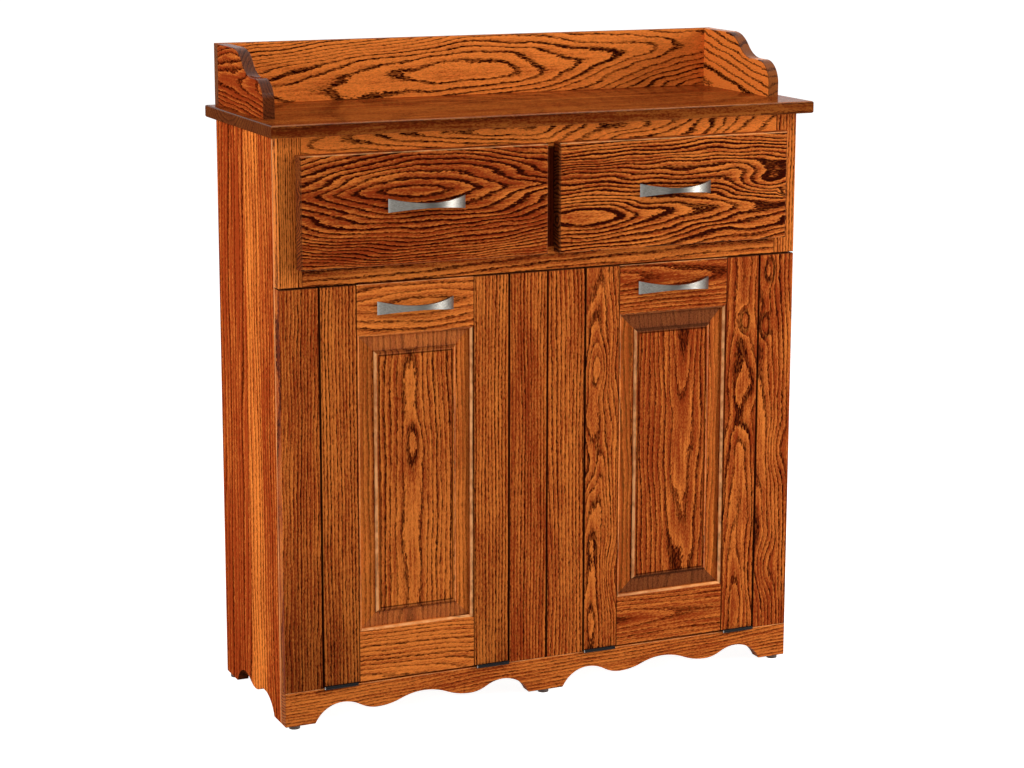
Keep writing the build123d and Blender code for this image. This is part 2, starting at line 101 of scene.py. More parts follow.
# What each thing adds to how light the body wood is, and what a cut's tone is counted from
CLOUD_SHARE = 0.6
STREAK_SHARE = 0.8
LATE_SHARE = 0.2
FLECK_SHARE = 0.9
TONE_MIDDLE = 0.77

# How strongly a band shows between pores and in them, and pores between bands and in them
BAND_BY_PORES = (0.75, 1.15)
PORES_BY_BAND = (0.16, 0.86)
FLECK_STAIN = 0.3

# How deep pores sink between bands and in them, how deep a band sinks, the strength of the bump, and how
# much rougher a band is
SINK_BY_BAND = (0.25, 0.95)
BAND_SINK = 0.25
WOOD_BUMP = 0.6
BAND_ROUGHNESS = 0.12

# Glued-up staves: how far each one's cut and tone differ, and what sets their two draws apart
STAVE_SHIFT = 0.2
STAVE_TONES = 0.34
STAVE_DRAW = 50

# Lengths over which a spreading heart line and a pointed ring are rounded off
SPREAD_ROUNDING = 0.05
POINT_ROUNDING = 0.0015
POINT_FADE = (0.004, 0.03)

# Knots: how much a distance along the grain counts round one, the size under which it has a dark
# collar, the shares of that size between which the collar lies, and its strength between pores and in them
KNOT_SQUEEZE = 0.45
LARGEST_COLLARED = 0.02
COLLAR_OPENS = (0.3, 0.42)
COLLAR_CLOSES = (0.5, 0.7)
COLLAR_BY_PORES = (0.5, 0.9)

# A board darker towards its foot and along its sides, stain and painted shade in its moulding's quirk, and a
# painted highlight along its sides: how far each reaches from there and how strong it is, and how far from
# a stile's middle the quirk runs
FADE_LENGTH = 0.3
SEAM = (-0.0016, -0.0008)
SIDE_HIGHLIGHT = (-0.005, -0.0025)
SIDE_HIGHLIGHT_STREAKS = 0.9
QUIRK_WIDTH = (0.0005, 0.0017)
QUIRK_STAIN_AND_SHADE = 0.8
QUIRK_FROM_MIDDLE = 0.0275
BESIDE_QUIRK = (-0.0002, 0.0008)

# A raised panel: how far in its field's edge lies, the two dark lines of stain and painted shade along that
# step, measured outwards from it, and the lighter bevel beyond
FIELD_INSET = 0.038
FIELD_LINE = -0.0012
FIELD_LINE_WIDTH = (0.0006, 0.002)
FIELD_LINE_STAIN_AND_SHADE = 0.75
SHOULDER_LINE = 0.0064
SHOULDER_WIDTH = (0.0003, 0.0012)
SHOULDER_STAIN_AND_SHADE = 0.5
BEVEL_STARTS = (0.008, 0.012)
BEVEL_LIGHT = 0.22

# How far a face turns to the grain's end until it looks like a bevel or like end grain, and the shares
# of the looks there
BEVEL_SLANT = (0.02, 0.1)
END_SLANT = (0.15, 0.4)
BEVEL_SHARE = 0.85
END_SPECKLES = 0.45
END_BAND = 0.25

# Edges lightened where rubbing thins the stain and a highlight is painted: how near to one axis a face
# points, how far to the end and how far to the light, and how strong the lightening is between streaks and
# breaks and in them
ROUNDED = (0.88, 0.985)
RUBBED_HIGHLIGHT_SLANT = (0.03, 0.2)
TO_LIGHT = (-0.5, 0.5)
LEAST_LIT = 0.2
RUBBED_HIGHLIGHT_BY_STREAKS = (0.6, 1.2)
RUBBED_HIGHLIGHT_BY_BREAKS = (0.5, 1.1)

# Clear coat: how far up a coated face points, and how rough the coat is
LEVEL = (0.2, 0.7)
COAT_ROUGHNESS = 0.09

# Brushed metal: blotches of smudge to the metre, the brush marks' levels, shade, depth and roughness, how
# much smoother than written the smoothest place is, the strength of the bump, and how far left a pull's end
# points where a highlight is painted on it
SMUDGES = (30.0, 30.0, 30.0)
SMUDGE_SEED = 3
MARK_LEVELS = (0.3, 0.7)
MARK_SHADE = 0.7
MARK_DEPTH = 0.00004
MARK_ROUGHNESS = 0.1
SMOOTHEST = 0.08
MARK_BUMP = 0.4
LEFTWARD = (0.6, 0.8)

# Plastic: blotches to the metre of the moulded grain, of scuffs on a bin and of dust on a glide, the levels
# between which scuffs come in, and what grain, scuffs and dust do to the surface
BIN_GRAIN = (900.0, 900.0, 900.0)
BIN_SCUFFS = (8.0, 8.0, 40.0)
SCUFF_SEED = 2
SCUFF_LEVELS = (0.55, 0.8)
SCUFF_SHARE = 0.25
SCUFF_SHADE = 1.6
SCUFF_ROUGHNESS = 0.15
GRAIN_DEPTH = 0.0001
GRAIN_BUMP = 0.4
GLIDE_DUST = (200.0, 200.0, 200.0)
DUST_SHARE = 0.4
DUST_SHADE = 1.5

# Detail of the noises in metal and plastic
FINE_DETAIL = 2.0
SCUFF_DETAIL = 3.0

# Cut of the straight-grained strips and stiles
STRAIGHT = {"heart": (-0.17, 0.02), "ring": 0.0057, "sway": 0.009, "line": 0.28}


def tint(red, green, blue):
    """Linear colour from the 0 to 255 steps of red, green and blue that a screen shows."""
    def linear(step):
        share = step / 255
        return share / 12.92 if share <= 0.04045 else ((share + 0.055) / 1.055) ** 2.4
    return linear(red), linear(green), linear(blue)


def scaled(numbers, factor):
    """Every number of a colour or a range, times a factor."""
    return tuple(value * factor for value in numbers)


def opaque(colour):
    """Colour with full alpha, as node sockets take it."""
    return (*colour, 1)


def colour_prop(name, description, default):
    """Colour picker property."""
    return bpy.props.FloatVectorProperty(name=name, description=description, default=default,
                                         subtype="COLOR", size=3, min=0, max=1)


def length_prop(name, description, default):
    """Length property in metres."""
    return bpy.props.FloatProperty(name=name, description=description, default=default, unit="LENGTH",
                                   precision=5)


def share_prop(name, description, default):
    """Share between none and all."""
    return bpy.props.FloatProperty(name=name, description=description, default=default,
                                   subtype="FACTOR", min=0, max=1)


class CabinetOakLooks(bpy.types.PropertyGroup):
    """Stained and lacquered oak outside"""
    light: colour_prop("Late wood", "Stain on the dense bright wood", tint(221, 123, 50))
    middle: colour_prop("Body wood", "Stain on ordinary wood", tint(141, 52, 18))
    band: colour_prop("Early wood", "Stain where a ring starts", tint(66, 13, 1))
    pore: colour_prop("Pores", "Stain caught in open pores", tint(30, 6, 1))
    end: colour_prop("End grain", "Stain soaked into end grain", tint(94, 50, 27))
    # Painted highlight: the pale colour of rounded edges, where rubbing also thins the stain
    rubbed_highlight: colour_prop("Rubbed edge highlight", "Wood where the stain is rubbed thin", tint(255, 184, 120))
    ripple: length_prop("Ripple", "How far rings waver over a hand's width", 0.003)
    rough: share_prop("Roughness", "Roughness of the lacquered wood", 0.42)
    sheen: share_prop("Sheen", "How strongly the lacquer mirrors", 0.006)
    bump: length_prop("Pore depth", "How deep the pores sink", 0.00025)


class CabinetPlainWoodLooks(bpy.types.PropertyGroup):
    """Clear-sealed wood inside"""
    light: colour_prop("Light", "Late wood of the clear-sealed inside", tint(214, 176, 128))
    middle: colour_prop("Body", "Body of the clear-sealed wood", tint(196, 152, 102))
    band: colour_prop("Early wood", "Ring starts of the clear-sealed wood", tint(160, 112, 68))
    pore: colour_prop("Pores", "Pores of the clear-sealed wood", tint(112, 74, 44))
    end: colour_prop("End grain", "End grain of the clear-sealed wood", tint(150, 110, 72))
    ripple: length_prop("Ripple", "How far rings waver over a hand's width", 0.0022)
    rough: share_prop("Roughness", "Roughness of the clear-sealed wood", 0.55)
    sheen: share_prop("Sheen", "How strongly the sealer mirrors", 0.08)
    bump: length_prop("Pore depth", "How deep the pores sink", 0.0001)


class CabinetMetalLooks(bpy.types.PropertyGroup):
    """Pulls, hinges, pins and slides"""
    nickel: colour_prop("Nickel", "Satin nickel of the pulls", tint(124, 120, 113))
    # Painted highlight: the near-white colour of a pull's left end, where the left lamp catches it
    highlighted: colour_prop("Nickel highlight", "Nickel where a pull's end is polished", tint(236, 234, 228))
    nickel_rough: share_prop("Nickel roughness", "Roughness of the brushed nickel", 0.3)
    black: colour_prop("Black", "Black finish of the hinges", tint(15, 15, 17))
    steel: colour_prop("Steel", "Bright steel of the pins", tint(188, 188, 186))
    zinc: colour_prop("Zinc", "Zinc plate of the drawer slides", tint(186, 190, 194))
    black_rough: share_prop("Black roughness", "Roughness of the black finish", 0.36)
    steel_rough: share_prop("Steel roughness", "Roughness of the pins' steel", 0.28)
    zinc_rough: share_prop("Zinc roughness", "Roughness of the zinc plate", 0.36)


class CabinetPlasticLooks(bpy.types.PropertyGroup):
    """Waste bins and glides"""
    bin: colour_prop("Bin", "Moulded plastic of the waste bins", tint(74, 76, 79))
    bin_rough: share_prop("Bin roughness", "Roughness of the bins where they are not scuffed", 0.5)
    glide: colour_prop("Glide", "Plastic of the glides", tint(58, 40, 30))
    glide_rough: share_prop("Glide roughness", "Roughness of the glides", 0.55)


class CabinetStageLooks(bpy.types.PropertyGroup):
    """Camera, fill light and floor"""
    camera_place: bpy.props.FloatVectorProperty(
        name="Camera place", description="Where the photographer stood", subtype="TRANSLATION",
        unit="LENGTH", size=3, default=(-1.6504, -3.6955, 1.3937))
    camera_turn: bpy.props.FloatProperty(name="Turn", description="Camera's turn to the right of +Y",
                                         subtype="ANGLE", default=0.41907)
    camera_drop: bpy.props.FloatProperty(name="Drop", description="Camera's tilt below the horizon",
                                         subtype="ANGLE", default=0.19099)
    camera_roll: bpy.props.FloatProperty(name="Roll", description="Camera's roll", subtype="ANGLE",
                                         default=0.00205)
    focal_pixels: bpy.props.FloatProperty(name="Focal length", default=2464.1,
                                          description="Focal length in pixels of the picture's width")
    rise_pixels: bpy.props.FloatProperty(name="Lens rise", default=-64, description="Lens shift in pixels")
    ambient: share_prop("Ambient", "Level of the studio's soft fill", 0.24)
    floor: colour_prop("Floor", "Pale floor", (0.72, 0.72, 0.72))
    glow: share_prop("Floor glow", "How far the seen floor is lifted to white", 0.94)


class Wire:
    """One node output whose arithmetic adds Math nodes."""

    def __init__(self, finish, socket):
        self.finish = finish
        self.socket = socket

    def math(self, operation, first, second=0.0):
        return self.finish.node("ShaderNodeMath", {"operation": operation}, {0: first, 1: second})[0]

    def __add__(self, other):
        return self.math("ADD", self, other)

    def __radd__(self, other):
        return self.math("ADD", other, self)

    def __sub__(self, other):
        return self.math("SUBTRACT", self, other)

    def __rsub__(self, other):
        return self.math("SUBTRACT", other, self)

    def __mul__(self, other):
        return self.math("MULTIPLY", self, other)

    def __rmul__(self, other):
        return self.math("MULTIPLY", other, self)

    def __truediv__(self, other):
        return self.math("DIVIDE", self, other)

    def __abs__(self):
        return self.math("ABSOLUTE", self)

    def floor(self):
        return self.math("FLOOR", self)

    def largest(self, other):
        return self.math("MAXIMUM", self, other)

    def smallest(self, other):
        return self.math("MINIMUM", self, other)

    def between(self, low, high):
        """This share carried to a range: low where it is 0 and high where it is 1."""
        return self * (high - low) + low


class Finish:
    """The node tree of a material or a world under construction."""

    def __init__(self, owner):
        owner.use_nodes = True
        self.owner = owner
        self.tree = owner.node_tree
        self.tree.nodes.clear()

    def node(self, kind, settings, sockets):
        """Adds a node, sets it up, fills or links its sockets and returns its outputs."""
        made = self.tree.nodes.new(kind)
        for name, value in settings.items():
            setattr(made, name, value)
        for key, value in sockets.items():
            if isinstance(value, Wire):
                self.tree.links.new(value.socket, made.inputs[key])
            else:
                made.inputs[key].default_value = value
        return [Wire(self, socket) for socket in made.outputs]

    def place(self):
        """Object coordinates, which ride with the piece."""
        return self.node("ShaderNodeTexCoord", {}, {})[COORDINATE_OBJECT]

    def facing(self):
        """Object-space normal."""
        return self.node("ShaderNodeTexCoord", {}, {})[COORDINATE_NORMAL]

    def split(self, vector):
        return self.node("ShaderNodeSeparateXYZ", {}, {0: vector})

    def join(self, x, y, z):
        return self.node("ShaderNodeCombineXYZ", {}, {0: x, 1: y, 2: z})[0]

    def length(self, vector):
        return self.node("ShaderNodeVectorMath", {"operation": "LENGTH"}, {0: vector})[1]

    def chance(self, number):
        """Number from 0 to 1 that is drawn anew for each whole number."""
        return self.node("ShaderNodeTexWhiteNoise", {"noise_dimensions": "1D"}, {"W": number})[0]

    def noise(self, place, per_metre, detail, seed=0.0):
        """Noise from 0 to 1 with its own number of blotches to the metre on each axis."""
        shifted = self.node("ShaderNodeVectorMath", {"operation": "MULTIPLY_ADD"},
                            {0: place, 1: per_metre, 2: scaled(SEED_STEPS, seed)})[0]
        return self.node("ShaderNodeTexNoise", {}, {"Vector": shifted, "Scale": 1.0, "Detail": detail})[0]

    def ease(self, value, low, high):
        """0 below low, 1 above high, and a soft step between."""
        return self.node("ShaderNodeMapRange", {"interpolation_type": "SMOOTHSTEP"},
                         {"Value": value, "From Min": low, "From Max": high})[0]

    def mix(self, share, first, second):
        """Colour that goes from the first to the second as the share grows."""
        first = first if isinstance(first, Wire) else opaque(first)
        second = second if isinstance(second, Wire) else opaque(second)
        return self.node("ShaderNodeMix", {"data_type": "RGBA"},
                         {MIX_SHARE: share, MIX_FIRST: first, MIX_SECOND: second})[MIX_RESULT]

    def bump(self, height, distance, strength):
        """Normal that is tilted by small heights."""
        return self.node("ShaderNodeBump", {},
                         {"Height": height, "Distance": distance, "Strength": strength})[0]

    def surface(self, **sockets):
        """Principled shader on the material's output; socket names take underscores for spaces."""
        named = {key.replace("_", " "): value for key, value in sockets.items()}
        shader = self.node("ShaderNodeBsdfPrincipled", {}, named)[0]
        self.node("ShaderNodeOutputMaterial", {}, {"Surface": shader})
        return self.owner


@dataclass
class Cut:
    """How a board was sawn from the log, and how it took the stain. Lengths are in metres."""

    # Board's axes along the grain, across its face and through it
    axes: str
    # Log's heart line: its place across and through the board, how it dives, bends, veers and peaks
    heart: tuple = (0.0, 0.03)
    tilt: float = 0.0
    bow: float = 0.0
    skew: float = 0.0
    spread: float = 0.0
    # Rings: their width, how they close up outwards, where the first starts and how pointed they run
    ring: float = 0.0062
    tight: float = 0.0
    phase: float = 0.0
    point: float = 0.0
    # Slow and quick bends of the rings, and knots as place along, place across, size and push
    sway: float = 0.010
    wild: float = 0.0
    knots: tuple = ()
    # Number of staves in a glued-up panel, or none
    staves: int = 0
    # Body's lightness, its brightness, darkness of the bands and their share of a ring
    tone: float = 0.5
    lift: float = 1.0
    bold: float = 0.95
    line: float = 0.3
    # Darker foot, sides that are darker and how much, and sides with a painted highlight
    fade: float = 0.0
    seams: tuple = ()
    seam_darkness: float = 0.9
    side_highlight: tuple = ()
    # Rounded edges lightened by rubbing and a painted highlight, a groove's place across, and a raised
    # field's half width and length
    rubbed_highlight: float = 0.0
    quirk: float = None
    field: tuple = None
    # Strength of the end grain, and how much lighter it is on a bevel
    end: float = 0.85
    bevel: float = 2.4
    # How strongly the face mirrors, where it differs, and clear coat on level faces
    sheen: float = None
    gloss: float = 0.0


class Board:
    """Ring-porous wood on one board: its place in the log and the stain that it took."""

    def __init__(self, name, seed, cut, box, looks):
        self.finish = Finish(bpy.data.materials.new(name))
        self.seed = seed
        self.cut = cut
        self.looks = looks
        middle = (box[0] + box[1]) / 2
        half = (box[1] - box[0]) / 2
        lengthwise, crosswise, inward = [AXIS_NUMBER[axis] for axis in cut.axes]
        self.half_length = half[lengthwise]
        self.half_width = half[crosswise]
        spot = self.finish.split(self.finish.place())
        self.along = spot[lengthwise] - middle[lengthwise]
        self.across = spot[crosswise] - middle[crosswise]
        self.depth = spot[inward] - middle[inward]
        self.grain = self.finish.join(self.along, self.across, self.depth)
        self.normal = self.finish.split(self.finish.facing())
        self.slant = abs(self.normal[lengthwise])
        self.knots = [(self.away_from(*place), size, push) for *place, size, push in cut.knots]
        self.passed, self.band = self.rings()
        self.pores = self.finish.ease(self.noise(PORES), *PORE_LEVELS)
        self.streaks = self.noise(STREAKS)

    def noise(self, blotches):
        """One of the wood's noises, stretched along this board's grain."""
        per_metre = (blotches.along, blotches.across, blotches.across)
        return self.finish.noise(self.grain, per_metre, blotches.detail, self.seed + blotches.number)

    def away_from(self, along, across):
        """Distance from a place on the face, which grows more slowly along the grain."""
        lengthwise = (self.along - along) * KNOT_SQUEEZE
        return self.finish.length(self.finish.join(lengthwise, self.across - across, 0.0))

    def stave(self):
        """Number of the stave in a glued-up panel."""
        return ((self.across / (self.half_width * 2) + 0.5) * self.cut.staves).floor() + self.seed

    def distance_from_heart(self):
        """Distance from the log's heart line, drawn to a point where the cut asks for it."""
        finish, cut = self.finish, self.cut
        heart = self.along * self.along * cut.bow + self.along * cut.tilt + cut.heart[1]
        if cut.spread:
            bend = finish.length(finish.join(self.along, SPREAD_ROUNDING, 0.0))
            heart = heart + bend * cut.spread - SPREAD_ROUNDING * cut.spread
        aside = self.across - (self.along * cut.skew + cut.heart[0])
        if cut.staves:
            aside = aside + (finish.chance(self.stave()) - 0.5) * STAVE_SHIFT
        reach = finish.length(finish.join(aside, self.depth - heart, 0.0))
        if cut.point:
            corner = finish.length(finish.join(aside, POINT_ROUNDING, 0.0)) + heart - reach
            reach = reach + corner * (1 - finish.ease(abs(aside), *POINT_FADE)) * cut.point
        return reach

    def drift(self):
        """How far slow sway, wild figure and knots push the rings."""
        drift = (self.noise(SWAY) - 0.5) * self.cut.sway
        if self.cut.wild:
            drift = drift + (self.noise(WILD) - 0.5) * self.cut.wild
        for away, size, push in self.knots:
            drift = drift + (1 - self.finish.ease(away, 0.0, size)) * push
        return drift

    def rings(self):
        """How much of its ring a point has passed, and how strong the ring's band of pores is there."""
        finish, cut = self.finish, self.cut
        waver = (self.noise(WAVER) - 0.5) * self.looks.ripple
        reach = self.distance_from_heart() + self.drift() + waver
        if cut.tight:
            reach = reach * (reach * cut.tight + 1)
        rings = reach / cut.ring + (self.noise(RAGGED) - 0.5) * RAGGED_RINGS + cut.phase
        number = rings.floor()
        passed = rings - number
        strength = finish.chance(number + self.seed)
        width = strength * BAND_SPREAD + cut.line
        closed = finish.ease(passed, *[width * share for share in BAND_CLOSES])
        band = finish.ease(passed, *BAND_OPENS) * (1 - closed)
        patches = finish.ease(self.noise(PATCHES), *PATCH_LEVELS)
        return passed, band * strength.between(FAINTEST_BAND, 1) * patches.between(FAINTEST_BAND, 1)

    def tone(self):
        """Lightness of the body wood, which differs from stave to stave."""
        tone = self.cut.tone - TONE_MIDDLE
        if self.cut.staves:
            tone = self.finish.chance(self.stave() + STAVE_DRAW) * STAVE_TONES + (tone - STAVE_TONES / 2)
        return tone

    def face(self):
        """Stained wood of a plain face."""
        finish, cut, looks = self.finish, self.cut, self.looks
        shown = min(cut.bold, 1)
        flecks = self.noise(FLECKS)
        late = finish.ease(self.passed, *LATE_WOOD)
        warm = (self.noise(CLOUDS) * CLOUD_SHARE + self.streaks * STREAK_SHARE + late * LATE_SHARE
                + (flecks - 0.5) * FLECK_SHARE + self.tone())
        body = finish.mix(finish.ease(warm, *WARM_LEVELS), scaled(looks.middle, cut.lift),
                          scaled(looks.light, cut.lift))
        banded = finish.mix((self.band * self.pores.between(*BAND_BY_PORES) * cut.bold).smallest(1), body,
                            scaled(looks.band, min(1, 1 / cut.bold)))
        pored = finish.mix(self.pores * self.band.between(*PORES_BY_BAND) * shown, banded, looks.pore)
        return finish.mix(finish.ease(flecks, *FLECK_LEVELS) * FLECK_STAIN * shown, pored, looks.band)

    def stain_shade_and_highlight(self, colour):
        """Face darker at its foot and joints, with collars round knots, stain and painted shade in its
        grooves, and a painted highlight along some sides.
        """
        finish, cut, looks = self.finish, self.cut, self.looks
        if cut.fade:
            foot = -self.half_length
            upper = finish.ease(self.along, foot, foot + FADE_LENGTH)
            colour = finish.mix((1 - upper) * cut.fade, colour, looks.pore)
        for away, size, _ in self.knots:
            if size < LARGEST_COLLARED:
                opened = finish.ease(away, *scaled(COLLAR_OPENS, size))
                closed = finish.ease(away, *scaled(COLLAR_CLOSES, size))
                collar = opened * (1 - closed) * self.pores.between(*COLLAR_BY_PORES)
                colour = finish.mix(collar, colour, looks.pore)
        if cut.quirk is not None:
            # Stain and painted shade: a dark line in the moulding's quirk
            groove = 1 - finish.ease(abs(self.across - cut.quirk), *QUIRK_WIDTH)
            colour = finish.mix(groove * QUIRK_STAIN_AND_SHADE, colour, looks.pore)
        if cut.field is not None:
            step = (abs(self.across) - cut.field[0]).largest(abs(self.along) - cut.field[1])
            colour = finish.mix(finish.ease(step, *BEVEL_STARTS) * BEVEL_LIGHT, colour, looks.light)
            # Stain and painted shade: dark lines in the creases beside the field's edge
            inner = (1 - finish.ease(abs(step - FIELD_LINE), *FIELD_LINE_WIDTH)) * FIELD_LINE_STAIN_AND_SHADE
            outer = (1 - finish.ease(abs(step - SHOULDER_LINE), *SHOULDER_WIDTH)) * SHOULDER_STAIN_AND_SHADE
            colour = finish.mix(inner.largest(outer), colour, looks.pore)
        for side in cut.seams:
            seam = finish.ease(self.across * side - self.half_width, *SEAM)
            colour = finish.mix(seam * cut.seam_darkness, colour, looks.pore)
        # Painted highlight: a pale line along the chosen sides, such as a side panel's front corner
        for side in cut.side_highlight:
            side_highlight = finish.ease(self.across * side - self.half_width, *SIDE_HIGHLIGHT)
            colour = finish.mix(side_highlight * (self.streaks * SIDE_HIGHLIGHT_STREAKS), colour, looks.rubbed_highlight)
        return colour

    def ends(self, colour):
        """Face with end grain where it is cut across, and a paler one where a bevel slopes."""
        finish, cut, looks = self.finish, self.cut, self.looks
        cross_cut = finish.ease(self.slant, *END_SLANT)
        bevelled = finish.ease(self.slant, *BEVEL_SLANT)
        share = (bevelled * BEVEL_SHARE + cross_cut * (1 - BEVEL_SHARE)) * cut.end
        wood = finish.mix(1 - cross_cut, looks.end, scaled(looks.end, cut.bevel))
        speckles = finish.ease(self.noise(SPECKLES), *SPECKLE_LEVELS)
        soaked = finish.mix(speckles * END_SPECKLES + self.band * END_BAND, wood, looks.pore)
        return finish.mix(share, colour, soaked)

    def edges(self, colour):
        """Face lighter on its rounded edges, where rubbing thins the stain and a highlight is painted, most
        where they face up or left towards the lamps.
        """
        finish, cut, normal = self.finish, self.cut, self.normal
        flat = abs(normal[0]).largest(abs(normal[1])).largest(abs(normal[2]))
        # Painted highlight: edges that face up or left, towards the lamps, are lightened most
        lit = finish.ease(normal[2] - normal[0], *TO_LIGHT).between(LEAST_LIT, 1)
        edge = (1 - finish.ease(flat, *ROUNDED)) * (1 - finish.ease(self.slant, *RUBBED_HIGHLIGHT_SLANT))
        edge = edge * lit * cut.rubbed_highlight
        if cut.quirk is not None:
            outward = self.across * math.copysign(1, cut.quirk) - abs(cut.quirk)
            edge = edge * finish.ease(outward, *BESIDE_QUIRK)
        broken = finish.ease(self.noise(BREAKS), *BREAK_LEVELS).between(*RUBBED_HIGHLIGHT_BY_BREAKS)
        rubbed_highlight = (edge * self.streaks.between(*RUBBED_HIGHLIGHT_BY_STREAKS) * broken).smallest(1)
        return finish.mix(rubbed_highlight, colour, self.looks.rubbed_highlight)

    def material(self):
        """Finished material."""
        finish, cut, looks = self.finish, self.cut, self.looks
        colour = self.ends(self.stain_shade_and_highlight(self.face()))
        if cut.rubbed_highlight:
            colour = self.edges(colour)
        height = 1 - self.pores * self.band.between(*SINK_BY_BAND) - self.band * BAND_SINK
        sockets = {"Base_Color": colour, "Roughness": looks.rough + self.band * BAND_ROUGHNESS,
                   "Specular_IOR_Level": looks.sheen if cut.sheen is None else cut.sheen,
                   "Normal": finish.bump(height, looks.bump, WOOD_BUMP)}
        if cut.gloss:
            sockets["Coat_Weight"] = finish.ease(self.normal[2], *LEVEL) * cut.gloss
            sockets["Coat_Roughness"] = COAT_ROUGHNESS
        return finish.surface(**sockets)


def dress(node, material):
    """Gives a frame node its finish."""
    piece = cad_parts[node]
    if not piece.data.materials:
        piece.data.materials.append(material)
    for slot in piece.material_slots:
        slot.material = material


def oak_board(node, seed, cut):
    """Stained board with its own cut of the log."""
    looks = bpy.context.scene.cabinet_oak
    dress(node, Board("oak_" + node, seed, cut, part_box(node), looks).material())


def plain_board(node, seed, cut):
    """Clear-sealed inside board."""
    looks = bpy.context.scene.cabinet_plain
    dress(node, Board("plain_" + node, seed, cut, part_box(node), looks).material())


class CABINET_OT_carcass(bpy.types.Operator):
    """Stain the side panels, the fixed strips and the base rail"""
    bl_idname = "cabinet.carcass"
    bl_label = "Carcass"

    def execute(self, context):
        side = {"heart": (0.02, 0.06), "tilt": 0.03, "ring": 0.012, "sway": 0.024, "sheen": 0.0, "staves": 4,
                "side_highlight": (-1,)}
        oak_board("side_panel_left", 11, Cut("ZYX", **side, tone=0.42, bold=0.85, lift=1.4))
        # Painted shade: the right side panel gets a lower tone and lift than the left, as the right lamp
        # lights it more
        oak_board("side_panel_right", 12, Cut("ZYX", **side, tone=0.3, bold=0.8, lift=0.95))
        oak_board("fixed_strip_outer_left", 13, Cut(
            "ZXY", **STRAIGHT, skew=0.012, wild=0.01, tone=0.44, seams=(1,), fade=0.4))
        oak_board("fixed_strip_inner_left", 14, Cut("ZXY", **STRAIGHT, tone=0.4, seams=(-1, 1)))
        oak_board("fixed_strip_inner_right", 15, Cut(
            "ZXY", (-0.07, 0.02), 0.03, sway=0.014, tone=0.48, seams=(-1, 1)))
        oak_board("fixed_strip_outer_right", 16, Cut(
            "ZXY", (-0.03, 0.015), 0.05, wild=0.014, tone=0.43, seams=(-1,),
            knots=((0.205, -0.02, 0.018, 0.012), (0.3, -0.012, 0.018, -0.01), (-0.02, 0.01, 0.03, 0.01),
                   (-0.22, -0.01, 0.03, 0.012))))
        oak_board("base_rail", 17, Cut(
            "XZY", (0.07, 0.02), 0.03, skew=0.02, ring=0.005, sway=0.014, tone=0.55, bold=0.65, rubbed_highlight=0.5,
            end=0.45))
        return {"FINISHED"}


class CABINET_OT_face_frame(bpy.types.Operator):
    """Stain the stiles, rails and mullion round the drawers"""
    bl_idname = "cabinet.face_frame"
    bl_label = "Face frame"

    def execute(self, context):
        oak_board("frame_stile_left", 21, Cut(
            "ZXY", (-0.17, 0.02), ring=0.0038, sway=0.009, tone=0.78, lift=1.12, bold=1.0))
        oak_board("frame_stile_right", 22, Cut("ZXY", **STRAIGHT, tone=0.6))
        # Painted light: the top rail's high tone and lift brighten it where the top's overhang shades it
        oak_board("frame_top_rail", 23, Cut(
            "XZY", (0.02, 0.02), 0.05, spread=0.1, ring=0.005, wild=0.02, tone=0.85, lift=1.25, bold=1.2))
        oak_board("frame_bottom_rail", 24, Cut("XZY", (0.02, 0.03), 0.02, tone=0.55))
        # Painted shade: the mullion's low tone and lift darken it as it sits deep between the drawer fronts
        oak_board("frame_mullion", 25, Cut("ZXY", **STRAIGHT, tone=0.0, lift=0.4, bold=1.5))
        return {"FINISHED"}


class CABINET_OT_top(bpy.types.Operator):
    """Stain the top board and its gallery"""
    bl_idname = "cabinet.top"
    bl_label = "Top and gallery"

    def execute(self, context):
        oak_board("top_board", 31, Cut(
            "XYZ", (0.05, 0.09), 0.01, ring=0.008, tone=0.44, bold=0.6, seams=(-1,), seam_darkness=0.62,
            rubbed_highlight=0.15, sheen=0.0, gloss=0.42))
        oak_board("gallery_back", 32, Cut(
            "XZY", (-0.01, 0.008), 0.03, skew=0.09, spread=0.1, ring=0.0115, tight=5, sway=0.03, wild=0.02,
            tone=0.75, lift=1.25, bold=1.25, line=0.26))
        oak_board("gallery_end_left", 33, Cut(
            "YZX", (0.0, 0.03), 0.06, ring=0.005, wild=0.012, tone=0.32, lift=1.12, bold=1.0, sheen=0.0,
            gloss=0.36))
        oak_board("gallery_end_right", 34, Cut(
            "YZX", (-0.07, 0.02), skew=0.22, ring=0.013, wild=0.016, tone=1.5, lift=1.65, bold=1.2,
            gloss=0.36))
        return {"FINISHED"}


class CABINET_OT_drawer_fronts(bpy.types.Operator):
    """Stain the drawer fronts, whose rings close in eyes"""
    bl_idname = "cabinet.drawer_fronts"
    bl_label = "Drawer fronts"

    def execute(self, context):
        oak_board("drawer_left_front", 41, Cut(
            "XZY", (0.026, 0.012), spread=0.18, ring=0.0105, tight=6, phase=0.82, point=0.6, sway=0.01,
            wild=0.018, tone=0.38, bold=1.6, line=0.34, rubbed_highlight=0.6, end=0.6))
        oak_board("drawer_right_front", 42, Cut(
            "XZY", (-0.03, 0.015), 0.1, 0.1, skew=0.03, ring=0.0088, tight=3, phase=0.4, point=0.2,
            sway=0.018, wild=0.026, tone=0.5, bold=1.6, line=0.42, rubbed_highlight=0.6, end=0.6,
            knots=((0.17, 0.0, 0.045, 0.022), (0.212, -0.012, 0.012, 0.016),
                   (-0.15, -0.035, 0.05, -0.008))))
        return {"FINISHED"}


